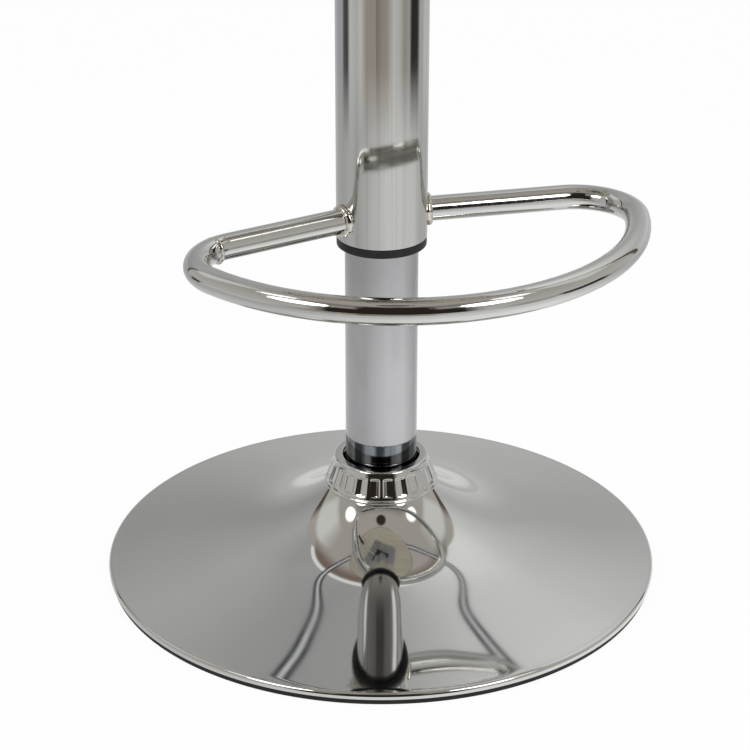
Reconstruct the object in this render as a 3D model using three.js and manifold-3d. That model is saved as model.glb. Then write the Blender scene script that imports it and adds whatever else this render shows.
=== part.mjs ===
import * as THREE from 'three';
import { mergeVertices } from 'three/addons/utils/BufferGeometryUtils.js';
import Module from 'manifold-3d';

// A counter stool on a gas spring: a spun base, a column that telescopes, a D-shaped footrest
// and a round padded seat. Millimetres, +Z up. The origin lies on the floor under the column,
// and the footrest's front arc faces -Y.

const wasm = await Module();
wasm.setup();

// Shared by all pieces
const gap = 0.3;
const overrun = 20;

// Base shell
const rimR = 195;
const rimRollR = 3;
const rimHeight = 4.2;
const sheet = 1.6;
const neckR = 36.5;
const neckRise = 1;
const flareR = 38;
const shoulderR = 97;
const slopeShare = 0.195;
const flareShare = 0.78;
const flarePower = 1.3;
const shoulderPower = 16;
const outerRadiusShares = [0.9, 0.76, 0.62, 0.56, 0.52, 0.48, 0.44, 0.39, 0.32, 0.26, 0.22, 0.195];
const innerRadiusShares = [0.195, 0.22, 0.26, 0.32, 0.39, 0.46, 0.52, 0.6];

// Floor ring, under the rim
const floorRingHeight = 4;
const floorRingInset = 1.2;
const floorLedge = 12;
const upstandInset = 3.4;
const upstandClearance = 2;

// Ballast plate and socket tube, inside the shell
const ballastThickness = 5;
const ballastHoleR = 14;
const socketWall = 4;
const socketHeight = 38;

// Column tube
const columnR = 25;
const columnWall = 1.5;
const columnFloor = 3;
const columnTopZ = 390;
const shellClearance = 0.4;

// Trim collar
const collarSeatR = 38.7;
const collarBeadR = 40;
const collarBeadHeight = 2.7;
const collarGrooveR = 39;
const collarGrooveHeight = 1;
const collarSlantFootR = 39.2;
const collarSlantTopR = 33.3;
const collarHeight = 22.2;
const collarRoll = 2.6;
const collarRollShare = 0.75;
const collarBeadShare = 0.25;
const collarRimR = 31;
const collarWall = 1.3;
const collarClearance = 1.6;
const fluteCount = 24;
const fluteWidth = 6;
const fluteLength = 12.6;
const fluteDepth = 0.6;
const fluteChamferShare = 0.25;

// Thrust bearing at the bottom of the column
const raceThickness = 1.5;
const raceR = 13;
const ballR = 2;
const ballCircleR = 8.7;
const ballCount = 10;
const cageThickness = 1.6;
const cageWidth = 5;

// Gas spring: rod, piston, buffer and clip
const rodR = 5;
const rodTipR = 4;
const rodTipLength = 14.3;
const clipGrooveR = 3;
const clipThickness = 1.4;
const clipR = 7.5;
const clipMouthDegrees = 70;
const bufferR = 12;
const bufferHeight = 13.2;
const pistonThickness = 18;
const pistonClearance = 0.4;
const pistonTopZ = 290;
const rodHeadR = 6.5;
const rodHeadHeight = 2;

// Gas spring: cylinder, gland and valve pin
const cylinderR = 14;
const cylinderWall = 1.2;
const cylinderBottomZ = 178;
const cylinderLip = 1.3;
const cylinderHead = 56;
const cylinderRise = 0.7;
const glandHeight = 19.5;
const valvePinR = 3;
const valvePinTipR = 1.8;
const valvePinTipHeight = 1;
const valvePinLength = 18.7;

// Guide bush in the column's top
const guideLength = 70;
const guideFlangeHeight = 2.2;

// Cover tube and its sleeve bush
const coverR = 30.8;
const coverWall = 1.5;
const coverTopZ = 645;
const bushFlangeZ = 243.2;
const bushFlangeHeight = 5.8;
const bushFlangeInset = 0.2;
const bushSleeveLength = 51;

// Footrest
const footrestZ = 265;
const footTubeR = 8.5;
const footTubeWall = 1.5;
const footFrontR = 162;
const footCentreX = 5;
const footCentreY = -11.4;
const footCornerR = 38.5;
const armSweepDegrees = 9.3;
const stubBend = 12;
const columnBeadR = 2.4;
const cornerBeadR = 1.6;
const hoopSteps = 48;
const stubSteps = 8;

// Mechanism housing
const housingLength = 74;
const housingWidth = 66;
const housingHeight = 26.7;
const housingWall = 2;
const hubClearance = 0.35;
const hubWall = 4.15;
const hubLength = 33.3;
const slotWidth = 12;
const slotLow = 5.6;
const slotHigh = 8.4;

// Release lever and its grip
const pivotX = -26;
const pivotRise = 13.7;
const pivotPinR = 2.5;
const pivotPinOverhang = 1.5;
const leverR = 4;
const leverBossR = 6.2;
const leverBossLength = 12;
const leverTailX = 6;
const leverBendX = -54;
const leverBendRun = 12;
const leverEndX = -186;
const leverSlopeDegrees = 12;
const gripR = 7;
const gripLength = 62;
const gripCap = 2;
const gripRoundShare = 0.35;
const leverSteps = 12;

// Seat plate and its screws
const plateSize = 150;
const plateThickness = 2.7;
const plateCornerR = 12;
const screwSpacing = 110;
const screwR = 3;
const screwLength = 13;
const screwTipShare = 0.3;
const screwHeadR = 6;
const screwHeadHeight = 3.4;
const screwCrownShare = 0.7;
const screwBrimShare = 0.5;

// Seat board, cushion and band
const boardThickness = 12;
const bandInnerR = 174;
const bandWall = 2.2;
const bandHeight = 30;
const bandDrop = 0.7;
const bandRibDepth = 1.3;
const bandRibCount = 3;
const bandRibShare = 0.25;
const boardClearance = 0.8;
const cushionClearance = 1;
const cushionBulge = 4.5;
const cushionHeight = 57.4;
const cushionCrownShares = [
  [1, 0.43], [1, 0.5], [0.988, 0.63], [0.962, 0.735], [0.915, 0.815], [0.84, 0.875],
  [0.72, 0.925], [0.55, 0.962], [0.35, 0.987], [0.16, 0.998],
];

// Facets round each turned piece
const wideSegments = 48;
const seatSegments = 40;
const tubeSegments = 32;
const smallSegments = 20;
const pinSegments = 16;
const screwSegments = 12;
const tubeOuterSides = 10;
const tubeBoreSides = 6;
const rodSides = 8;
const ballSides = 6;
const ballRings = 5;
const beadStations = 16;
const beadSides = 5;
const plateCornerSegments = 3;
const clipSegments = 9;

// Steps of the sums and searches for the shell's outline
const slopeSteps = 200;
const searchSteps = 40;

// Heights that follow from the sizes above
const rimBottomZ = floorRingHeight + gap;
const rimTopZ = rimBottomZ + rimHeight;
const slopeStartR = rimR - rimRollR;
const ballastTopZ = rimBottomZ + ballastThickness;
const columnBottomZ = ballastTopZ + gap;
const columnBoreR = columnR - columnWall;
const lowerRaceZ = columnBottomZ + columnFloor + gap;
const ballsBottomZ = lowerRaceZ + raceThickness + gap;
const upperRaceZ = ballsBottomZ + 2 * ballR + gap;
const rodShoulderZ = upperRaceZ + raceThickness + gap;
const rodTipHoleR = rodTipR + gap;
const bushTopZ = bushFlangeZ + bushFlangeHeight;
const coverBottomZ = bushTopZ + gap;
const coverBoreR = coverR - coverWall;
const housingBottomZ = coverTopZ + gap;
const housingFloorTopZ = housingBottomZ + housingWall;
const housingTopZ = housingBottomZ + housingHeight;
const cylinderTopZ = housingFloorTopZ + cylinderRise;
const cylinderBoreR = cylinderR - cylinderWall;
const pivotZ = housingBottomZ + pivotRise;
const plateBottomZ = housingTopZ + gap;
const plateTopZ = plateBottomZ + plateThickness;
const boardBottomZ = plateTopZ + gap;
const boardTopZ = boardBottomZ + boardThickness;
const cushionBottomZ = boardTopZ + gap;

// Looks
const chrome = { color: 0xc9cccf, roughness: 0.1, metalness: 1 };
const satinSteel = { color: 0xb1b2b4, roughness: 0.3, metalness: 1 };
const plainSteel = { color: 0x8f9194, roughness: 0.45, metalness: 1 };
const blackSteel = { color: 0x222325, roughness: 0.5, metalness: 0.6 };
const ballSteel = { color: 0xa8abaf, roughness: 0.2, metalness: 1 };
const blackRubber = { color: 0x141414, roughness: 0.8, metalness: 0 };
const blackPlastic = { color: 0x17181a, roughness: 0.45, metalness: 0 };
const naturalPlastic = { color: 0xd8d4c6, roughness: 0.5, metalness: 0 };
const plywood = { color: 0xb98f5c, roughness: 0.7, metalness: 0 };
const creamVinyl = { color: 0xe9e3d3, roughness: 0.45, metalness: 0 };

// Geometry tools

// Keeps only positions, joins equal corners and drops triangles that have shrunk to a line.
function clean(geometry) {
  const bare = new THREE.BufferGeometry();
  bare.setAttribute('position', geometry.getAttribute('position').clone());
  if (geometry.index) bare.setIndex(geometry.index.clone());
  const merged = mergeVertices(bare);
  const kept = [];
  for (let i = 0; i < merged.index.count; i += 3) {
    const [a, b, c] = [0, 1, 2].map((k) => merged.index.getX(i + k));
    if (a !== b && b !== c && c !== a) kept.push(a, b, c);
  }
  merged.setIndex(kept);
  return merged;
}

function toSolid(geometry) {
  const closed = clean(geometry);
  return new wasm.Manifold(new wasm.Mesh({
    numProp: 3,
    vertProperties: Float32Array.from(closed.getAttribute('position').array),
    triVerts: Uint32Array.from(closed.index.array),
  }));
}

function toGeometry(solid) {
  const { vertProperties, triVerts } = solid.getMesh();
  const geometry = new THREE.BufferGeometry();
  geometry.setAttribute('position', new THREE.Float32BufferAttribute(vertProperties, 3));
  geometry.setIndex(Array.from(triVerts));
  return geometry;
}

// A profile of [radius, height] points turned about Z. It starts and ends on the axis, or is a loop.
function turned(profile, segments) {
  const points = profile.map(([r, z]) => new THREE.Vector2(r, z));
  if (profile[0][0] > 0) points.push(points[0].clone());
  return clean(new THREE.LatheGeometry(points, segments).rotateX(Math.PI / 2));
}

function tube(innerR, outerR, bottomZ, topZ, segments) {
  return turned([[innerR, bottomZ], [outerR, bottomZ], [outerR, topZ], [innerR, topZ]], segments);
}

function rod(r, bottomZ, topZ, segments) {
  return turned([[0, bottomZ], [r, bottomZ], [r, topZ], [0, topZ]], segments);
}

function circlePoints(r, sides) {
  return Array.from({ length: sides }, (_, i) => {
    const angle = (2 * Math.PI * i) / sides;
    return new THREE.Vector2(r * Math.cos(angle), r * Math.sin(angle));
  });
}

function plate(shape, bottomZ, thickness) {
  const settings = { depth: thickness, bevelEnabled: false, curveSegments: plateCornerSegments };
  return new THREE.ExtrudeGeometry(shape, settings).translate(0, 0, bottomZ);
}

function roundedRectangle(length, width, cornerR) {
  const [x, y] = [length / 2, width / 2];
  const shape = new THREE.Shape();
  shape.moveTo(cornerR - x, -y);
  shape.lineTo(x - cornerR, -y);
  shape.absarc(x - cornerR, cornerR - y, cornerR, -Math.PI / 2, 0);
  shape.lineTo(x, y - cornerR);
  shape.absarc(x - cornerR, y - cornerR, cornerR, 0, Math.PI / 2);
  shape.lineTo(cornerR - x, y);
  shape.absarc(cornerR - x, y - cornerR, cornerR, Math.PI / 2, Math.PI);
  shape.lineTo(-x, cornerR - y);
  shape.absarc(cornerR - x, cornerR - y, cornerR, Math.PI, 1.5 * Math.PI);
  return shape;
}

function box(length, width, height, x, y, z) {
  return new THREE.BoxGeometry(length, width, height).translate(x, y, z);
}

// An arc in a level plane, from one angle to the other
class LevelArc extends THREE.Curve {
  constructor(centre, r, from, to, z) {
    super();
    Object.assign(this, { centre, r, from, to, z });
  }

  getPoint(t, target = new THREE.Vector3()) {
    const angle = this.from + (this.to - this.from) * t;
    const [x, y] = [this.r * Math.cos(angle), this.r * Math.sin(angle)];
    return target.set(this.centre.x + x, this.centre.y + y, this.z);
  }
}

// The line where a tube of ringR meets an upright cylinder of contactR
class SaddleLoop extends THREE.Curve {
  constructor(direction, ringR, contactR, z) {
    super();
    Object.assign(this, { direction, ringR, contactR, z });
  }

  getPoint(t, target = new THREE.Vector3()) {
    const angle = 2 * Math.PI * t;
    const side = this.ringR * Math.cos(angle);
    const along = Math.sqrt(this.contactR ** 2 - side ** 2);
    const { x, y } = this.direction;
    return target.set(along * x - side * y, along * y + side * x, this.z + this.ringR * Math.sin(angle));
  }
}

function sweep(path, outerR, boreR, steps, sides = tubeOuterSides) {
  const section = new THREE.Shape(circlePoints(outerR, sides));
  if (boreR > 0) section.holes.push(new THREE.Path(circlePoints(boreR, tubeBoreSides)));
  return new THREE.ExtrudeGeometry(section, { steps, extrudePath: path, bevelEnabled: false });
}

// Base shell

// How steeply the shell's outer face rises inwards: a flat cone as far as the shoulder, then a flare
// that grows towards the neck.
function shellSlope(r) {
  const flare = flareShare * (flareR / r) ** flarePower;
  return slopeShare + flare / (1 + (r / shoulderR) ** shoulderPower);
}

// Height of the shell's outer face at a radius, summed over short steps from the rim inwards
function shellZ(r) {
  const step = (slopeStartR - r) / slopeSteps;
  let z = rimTopZ;
  for (let i = 0; i < slopeSteps; i += 1) z += step * shellSlope(r + (i + 0.5) * step);
  return z;
}

// The point under the outer face at a radius, one sheet thickness in
function shellUnderside(r) {
  const slope = shellSlope(r);
  const length = Math.hypot(1, slope);
  return [r - (sheet * slope) / length, shellZ(r) - sheet / length];
}

// Where the shell's underside comes down to a height
function undersideRadius(z) {
  let [low, high] = [neckR, slopeStartR];
  for (let i = 0; i < searchSteps; i += 1) {
    const middle = (low + high) / 2;
    if (shellUnderside(middle)[1] > z) low = middle;
    else high = middle;
  }
  return shellUnderside(low)[0];
}

const neckTopZ = shellZ(neckR) + neckRise;
const shellHoleR = columnR + shellClearance;
const ballastR = undersideRadius(ballastTopZ + gap);
const rimBoreR = rimR - sheet;

function baseShell() {
  const rollR = (turn) => slopeStartR + rimRollR * Math.cos(turn);
  const rollZ = (turn) => rimTopZ - rimRollR + rimRollR * Math.sin(turn);
  const roll = [0, Math.PI / 6, Math.PI / 3, Math.PI / 2].map((turn) => [rollR(turn), rollZ(turn)]);
  const outer = outerRadiusShares.map((share) => [share * rimR, shellZ(share * rimR)]);
  const inner = innerRadiusShares.map((share) => shellUnderside(share * rimR));
  const profile = [
    [rimR, rimBottomZ],
    ...roll,
    ...outer,
    [neckR, shellZ(neckR)],
    [neckR, neckTopZ],
    [shellHoleR, neckTopZ],
    [shellHoleR, neckTopZ - sheet],
    [neckR - sheet, neckTopZ - sheet],
    ...inner,
    shellUnderside(slopeStartR),
    [rimBoreR, rimTopZ - rimRollR],
    [rimBoreR, rimBottomZ],
  ];
  return turned(profile, wideSegments);
}

function floorRing() {
  const outerR = rimR - floorRingInset;
  const innerR = ballastR - floorLedge;
  const upstandOuterR = rimBoreR - upstandInset;
  const upstandInnerR = ballastR + upstandClearance;
  const upstandTopZ = shellUnderside(upstandOuterR)[1] - 2 * gap;
  const profile = [
    [innerR, 0],
    [outerR, 0],
    [outerR, floorRingHeight],
    [upstandOuterR, floorRingHeight],
    [upstandOuterR, upstandTopZ],
    [upstandInnerR, upstandTopZ],
    [upstandInnerR, floorRingHeight],
    [innerR, floorRingHeight],
  ];
  return turned(profile, wideSegments);
}

function ballastPlate() {
  return tube(ballastHoleR, ballastR, rimBottomZ, ballastTopZ, wideSegments);
}

function socketTube() {
  const innerR = columnR + gap;
  return tube(innerR, innerR + socketWall, columnBottomZ, columnBottomZ + socketHeight, tubeSegments);
}

// Trim collar

function collarBody(bottomZ) {
  const topZ = bottomZ + collarHeight;
  const beadTopZ = bottomZ + collarBeadHeight;
  const footZ = beadTopZ + collarGrooveHeight;
  const shoulderZ = topZ - collarRoll;
  const holeR = columnR + collarClearance;
  const profile = [
    [collarSeatR, bottomZ],
    [collarGrooveR, bottomZ],
    [collarBeadR, bottomZ + collarBeadShare * collarBeadHeight],
    [collarBeadR, beadTopZ - collarBeadShare * collarBeadHeight],
    [collarGrooveR, beadTopZ],
    [collarGrooveR, footZ],
    [collarSlantFootR, footZ],
    [collarSlantTopR, shoulderZ],
    [collarRimR + collarRollShare * (collarSlantTopR - collarRimR), shoulderZ + collarRollShare * collarRoll],
    [collarRimR, topZ],
    [holeR, topZ],
    [holeR, topZ - collarWall],
    [collarRimR, topZ - collarWall],
    [collarSlantTopR - collarWall, shoulderZ - collarWall],
    [collarSlantFootR - collarWall, footZ],
  ];
  return turned(profile, 2 * fluteCount);
}

// One sunk panel of the collar's slanting side, at an angle round the column
function fluteCutter(angle, bottomZ) {
  const footZ = bottomZ + collarBeadHeight + collarGrooveHeight;
  const shoulderZ = bottomZ + collarHeight - collarRoll;
  const [halfWidth, halfLength] = [fluteWidth / 2, fluteLength / 2];
  const chamfer = fluteChamferShare * fluteWidth;
  const outline = [
    [halfWidth, halfLength - chamfer], [halfWidth - chamfer, halfLength],
    [chamfer - halfWidth, halfLength], [-halfWidth, halfLength - chamfer],
    [-halfWidth, chamfer - halfLength], [chamfer - halfWidth, -halfLength],
    [halfWidth - chamfer, -halfLength], [halfWidth, chamfer - halfLength],
  ];
  const shape = new THREE.Shape(outline.map(([x, y]) => new THREE.Vector2(x, y)));
  const cutter = plate(shape, -fluteDepth, fluteDepth + overrun);
  const out = new THREE.Vector3(Math.cos(angle), Math.sin(angle), 0);
  const up = out.clone().multiplyScalar(collarSlantTopR - collarSlantFootR);
  up.setZ(shoulderZ - footZ).normalize();
  const across = new THREE.Vector3(-Math.sin(angle), Math.cos(angle), 0);
  const normal = across.clone().cross(up);
  const middle = out.multiplyScalar((collarSlantFootR + collarSlantTopR) / 2).setZ((footZ + shoulderZ) / 2);
  return cutter.applyMatrix4(new THREE.Matrix4().makeBasis(across, up, normal).setPosition(middle));
}

function trimCollar() {
  const bottomZ = shellZ(collarSeatR - gap);
  let solid = toSolid(collarBody(bottomZ));
  for (let i = 0; i < fluteCount; i += 1) {
    solid = solid.subtract(toSolid(fluteCutter((2 * Math.PI * i) / fluteCount, bottomZ)));
  }
  return toGeometry(solid);
}

// Column and thrust bearing

function columnTube() {
  const floorTopZ = columnBottomZ + columnFloor;
  const profile = [
    [rodTipHoleR, columnBottomZ],
    [columnR, columnBottomZ],
    [columnR, columnTopZ],
    [columnBoreR, columnTopZ],
    [columnBoreR, floorTopZ],
    [rodTipHoleR, floorTopZ],
  ];
  return turned(profile, tubeSegments);
}

function race(bottomZ) {
  return tube(rodTipHoleR, raceR, bottomZ, bottomZ + raceThickness, smallSegments);
}

function ballCage() {
  const middleZ = ballsBottomZ + ballR;
  const [innerR, outerR] = [ballCircleR - cageWidth / 2, ballCircleR + cageWidth / 2];
  const halfCage = cageThickness / 2;
  let solid = toSolid(tube(innerR, outerR, middleZ - halfCage, middleZ + halfCage, 2 * ballCount));
  for (let i = 0; i < ballCount; i += 1) {
    const angle = (2 * Math.PI * i) / ballCount;
    const ball = new THREE.SphereGeometry(ballR, ballSides, ballRings).rotateX(Math.PI / 2);
    ball.translate(ballCircleR * Math.cos(angle), ballCircleR * Math.sin(angle), middleZ);
    solid = solid.add(toSolid(ball));
  }
  return toGeometry(solid);
}

function guideBush() {
  const boreR = cylinderR + gap;
  const flangeZ = columnTopZ + gap;
  const profile = [
    [boreR, columnTopZ - guideLength],
    [columnBoreR - gap, columnTopZ - guideLength],
    [columnBoreR - gap, flangeZ],
    [columnR, flangeZ],
    [columnR, flangeZ + guideFlangeHeight],
    [boreR, flangeZ + guideFlangeHeight],
  ];
  return turned(profile, smallSegments);
}

// Gas spring

function pistonRod() {
  const tipZ = rodShoulderZ - rodTipLength;
  const clipTopZ = columnBottomZ - gap;
  const grooveTopZ = columnBottomZ;
  const grooveBottomZ = clipTopZ - clipThickness - gap;
  const seatZ = pistonTopZ - pistonThickness - gap;
  const headZ = pistonTopZ + gap;
  const profile = [
    [0, tipZ],
    [rodTipR, tipZ],
    [rodTipR, grooveBottomZ],
    [clipGrooveR, grooveBottomZ],
    [clipGrooveR, grooveTopZ],
    [rodTipR, grooveTopZ],
    [rodTipR, rodShoulderZ],
    [rodR, rodShoulderZ],
    [rodR, seatZ],
    [rodTipR, seatZ],
    [rodTipR, headZ],
    [rodHeadR, headZ],
    [rodHeadR, headZ + rodHeadHeight],
    [0, headZ + rodHeadHeight],
  ];
  return turned(profile, pinSegments);
}

function retainingClip() {
  const half = THREE.MathUtils.degToRad(clipMouthDegrees / 2);
  const shape = new THREE.Shape();
  shape.absarc(0, 0, clipR, half, 2 * Math.PI - half, false);
  shape.absarc(0, 0, clipGrooveR + gap, 2 * Math.PI - half, half, true);
  const settings = { depth: clipThickness, bevelEnabled: false, curveSegments: clipSegments };
  return new THREE.ExtrudeGeometry(shape, settings).translate(0, 0, columnBottomZ - gap - clipThickness);
}

function rodBuffer() {
  return tube(rodR + gap, bufferR, rodShoulderZ, rodShoulderZ + bufferHeight, smallSegments);
}

function piston() {
  const outerR = cylinderBoreR - pistonClearance;
  return tube(rodTipR + gap, outerR, pistonTopZ - pistonThickness, pistonTopZ, smallSegments);
}

function gasCylinder() {
  const headZ = cylinderTopZ - cylinderHead;
  const lipTopZ = cylinderBottomZ + cylinderWall;
  const pinBoreR = valvePinR + gap;
  const profile = [
    [cylinderBoreR - cylinderLip, cylinderBottomZ],
    [cylinderR, cylinderBottomZ],
    [cylinderR, cylinderTopZ],
    [pinBoreR, cylinderTopZ],
    [pinBoreR, headZ],
    [cylinderBoreR, headZ],
    [cylinderBoreR, lipTopZ],
    [cylinderBoreR - cylinderLip, lipTopZ],
  ];
  return turned(profile, smallSegments);
}

function rodGland() {
  const bottomZ = cylinderBottomZ + cylinderWall + gap;
  return tube(rodR + gap, cylinderBoreR - gap, bottomZ, bottomZ + glandHeight, smallSegments);
}

function valvePin() {
  const topZ = pivotZ - leverR - gap;
  const bottomZ = topZ - valvePinLength;
  const profile = [
    [0, bottomZ],
    [valvePinR, bottomZ],
    [valvePinR, topZ - valvePinTipHeight],
    [valvePinTipR, topZ],
    [0, topZ],
  ];
  return turned(profile, pinSegments);
}

// Cover tube and sleeve bush

function coverTube() {
  return tube(coverBoreR, coverR, coverBottomZ, coverTopZ, tubeSegments);
}

function sleeveBush() {
  const boreR = columnR + gap;
  const flangeR = coverR - bushFlangeInset;
  const sleeveR = coverBoreR - gap;
  const profile = [
    [boreR, bushFlangeZ],
    [flangeR, bushFlangeZ],
    [flangeR, bushTopZ],
    [sleeveR, bushTopZ],
    [sleeveR, bushTopZ + bushSleeveLength],
    [boreR, bushTopZ + bushSleeveLength],
  ];
  return turned(profile, tubeSegments);
}

// Footrest

const footCentre = new THREE.Vector2(footCentreX, footCentreY);

// One side of the footrest: its arm's direction, the corner's centre, and where arm and corner meet
function footrestSide(sign) {
  const sweepAngle = THREE.MathUtils.degToRad(armSweepDegrees);
  const direction = new THREE.Vector2(sign * Math.cos(sweepAngle), -Math.sin(sweepAngle));
  const forward = new THREE.Vector2(-sign * Math.sin(sweepAngle), -Math.cos(sweepAngle));
  const offset = forward.clone().multiplyScalar(footCornerR).sub(footCentre);
  const along = direction.dot(offset);
  const reach = Math.sqrt(along ** 2 - offset.lengthSq() + (footFrontR - footCornerR) ** 2) - along;
  const tangent = direction.clone().multiplyScalar(reach);
  const centre = tangent.clone().addScaledVector(forward, footCornerR);
  return { direction, tangent, centre };
}

const rightSide = footrestSide(1);
const leftSide = footrestSide(-1);
const rightArmAngle = rightSide.tangent.clone().sub(rightSide.centre).angle();
const rightTurnAngle = rightSide.centre.clone().sub(footCentre).angle() - 2 * Math.PI;
const leftTurnAngle = leftSide.centre.clone().sub(footCentre).angle() - 2 * Math.PI;
const leftArmAngle = leftSide.tangent.clone().sub(leftSide.centre).angle() - 2 * Math.PI;
const jointAngle = leftArmAngle + stubBend / footCornerR;

function armLine(side) {
  const start = side.direction.clone().multiplyScalar(coverBoreR);
  return new THREE.LineCurve3(
    new THREE.Vector3(start.x, start.y, footrestZ),
    new THREE.Vector3(side.tangent.x, side.tangent.y, footrestZ),
  );
}

// The weld's bead all round an arm, where it stands on the cover tube
function columnBead(side) {
  const loop = new SaddleLoop(side.direction, footTubeR, coverR + columnBeadR / 2, footrestZ);
  return toSolid(new THREE.TubeGeometry(loop, beadStations, columnBeadR, beadSides, true));
}

function coverCutter() {
  const reach = footTubeR + overrun;
  return toSolid(rod(coverR + gap, footrestZ - reach, footrestZ + reach, tubeSegments));
}

function footrestHoop() {
  const path = new THREE.CurvePath();
  path.add(armLine(rightSide));
  path.add(new LevelArc(rightSide.centre, footCornerR, rightArmAngle, rightTurnAngle, footrestZ));
  path.add(new LevelArc(footCentre, footFrontR, rightTurnAngle, leftTurnAngle, footrestZ));
  const hoopEndAngle = jointAngle + gap / footCornerR;
  path.add(new LevelArc(leftSide.centre, footCornerR, leftTurnAngle, hoopEndAngle, footrestZ));
  const body = toSolid(sweep(path, footTubeR, footTubeR - footTubeWall, hoopSteps));
  const bore = armBore(rightSide);
  return toGeometry(body.add(columnBead(rightSide).subtract(bore)).subtract(coverCutter()));
}

// The clear bore of an arm, so that a bead doesn't close it
function armBore(side) {
  const path = new THREE.CurvePath();
  path.add(armLine(side));
  return toSolid(sweep(path, footTubeR - footTubeWall, 0, 1, tubeBoreSides));
}

function footrestStub() {
  const path = new THREE.CurvePath();
  path.add(armLine(leftSide));
  path.add(new LevelArc(leftSide.centre, footCornerR, leftArmAngle, jointAngle, footrestZ));
  const body = toSolid(sweep(path, footTubeR, footTubeR - footTubeWall, stubSteps));
  const cornerBead = new THREE.TorusGeometry(footTubeR, cornerBeadR, beadSides, beadStations);
  const beadAngle = jointAngle - (cornerBeadR + gap) / footCornerR;
  cornerBead.rotateX(Math.PI / 2).rotateZ(beadAngle);
  cornerBead.translate(
    leftSide.centre.x + footCornerR * Math.cos(beadAngle),
    leftSide.centre.y + footCornerR * Math.sin(beadAngle),
    footrestZ,
  );
  const bore = toSolid(sweep(path, footTubeR - footTubeWall, 0, stubSteps, tubeBoreSides));
  const bead = toSolid(cornerBead).subtract(bore);
  const solid = body.add(columnBead(leftSide).subtract(armBore(leftSide))).add(bead);
  return toGeometry(solid.subtract(coverCutter()));
}

// Mechanism housing, lever and pin

function mechanismHousing() {
  const middleZ = (housingBottomZ + housingTopZ) / 2;
  const hubBoreR = cylinderR + hubClearance;
  const shell = toSolid(box(housingLength, housingWidth, housingHeight, 0, 0, middleZ));
  const [innerLength, innerWidth] = [housingLength - 2 * housingWall, housingWidth - 2 * housingWall];
  const room = box(innerLength, innerWidth, housingHeight, 0, 0, middleZ + housingWall);
  const hubBottomZ = housingFloorTopZ - housingWall - hubLength;
  const hub = rod(hubBoreR + hubWall, hubBottomZ, housingFloorTopZ, smallSegments);
  const hubBore = rod(hubBoreR, hubBottomZ - overrun, housingFloorTopZ + overrun, smallSegments);
  const slotMiddleZ = pivotZ + (slotHigh - slotLow) / 2;
  const slot = box(overrun, slotWidth, slotLow + slotHigh, -housingLength / 2, 0, slotMiddleZ);
  const pinHoleR = pivotPinR + gap;
  const pinHole = new THREE.CylinderGeometry(pinHoleR, pinHoleR, housingWidth + overrun, pinSegments);
  pinHole.translate(pivotX, 0, pivotZ);
  const solid = shell.subtract(toSolid(room)).add(toSolid(hub));
  return toGeometry(solid.subtract(toSolid(hubBore)).subtract(toSolid(slot)).subtract(toSolid(pinHole)));
}

function pivotPin() {
  const length = housingWidth + 2 * pivotPinOverhang;
  return new THREE.CylinderGeometry(pivotPinR, pivotPinR, length, pinSegments).translate(pivotX, 0, pivotZ);
}

const leverSlope = THREE.MathUtils.degToRad(leverSlopeDegrees);
const leverOut = new THREE.Vector3(-Math.cos(leverSlope), 0, -Math.sin(leverSlope));
const leverBend = new THREE.Vector3(leverBendX, 0, pivotZ);
const leverEnd = leverBend.clone().addScaledVector(leverOut, (leverBendX - leverEndX) / Math.cos(leverSlope));

function releaseLever() {
  const bendStart = new THREE.Vector3(leverBendX + leverBendRun, 0, pivotZ);
  const bendEnd = leverBend.clone().addScaledVector(leverOut, leverBendRun);
  const path = new THREE.CurvePath();
  path.add(new THREE.LineCurve3(new THREE.Vector3(leverTailX, 0, pivotZ), bendStart));
  path.add(new THREE.QuadraticBezierCurve3(bendStart, leverBend, bendEnd));
  path.add(new THREE.LineCurve3(bendEnd, leverEnd));
  const boss = new THREE.CylinderGeometry(leverBossR, leverBossR, leverBossLength, pinSegments);
  const boreR = pivotPinR + gap;
  const bore = new THREE.CylinderGeometry(boreR, boreR, leverBossLength + overrun, pinSegments);
  const bent = toSolid(sweep(path, leverR, 0, leverSteps, rodSides));
  const body = bent.add(toSolid(boss.translate(pivotX, 0, pivotZ)));
  return toGeometry(body.subtract(toSolid(bore.translate(pivotX, 0, pivotZ))));
}

function leverGrip() {
  const round = gripRoundShare * gripR;
  const boreR = leverR + gap;
  const profile = [
    [0, gap],
    [boreR, gap],
    [boreR, -gripLength],
    [gripR - round, -gripLength],
    [gripR, round - gripLength],
    [gripR, gripCap - round],
    [gripR - round, gripCap],
    [0, gripCap],
  ];
  const along = new THREE.Quaternion().setFromUnitVectors(new THREE.Vector3(0, 0, 1), leverOut);
  return turned(profile, pinSegments).applyQuaternion(along).translate(leverEnd.x, leverEnd.y, leverEnd.z);
}

// Seat

const screwReach = screwSpacing / 2;
const screwPlaces = [
  [screwReach, screwReach],
  [-screwReach, screwReach],
  [-screwReach, -screwReach],
  [screwReach, -screwReach],
];

function withScrewHoles(geometry, bottomZ, topZ) {
  let solid = toSolid(geometry);
  for (const [x, y] of screwPlaces) {
    const hole = rod(screwR + gap, bottomZ - overrun, topZ + overrun, screwSegments);
    solid = solid.subtract(toSolid(hole.translate(x, y, 0)));
  }
  return toGeometry(solid);
}

function seatPlate() {
  const shape = roundedRectangle(plateSize, plateSize, plateCornerR);
  return withScrewHoles(plate(shape, plateBottomZ, plateThickness), plateBottomZ, plateTopZ);
}

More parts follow.
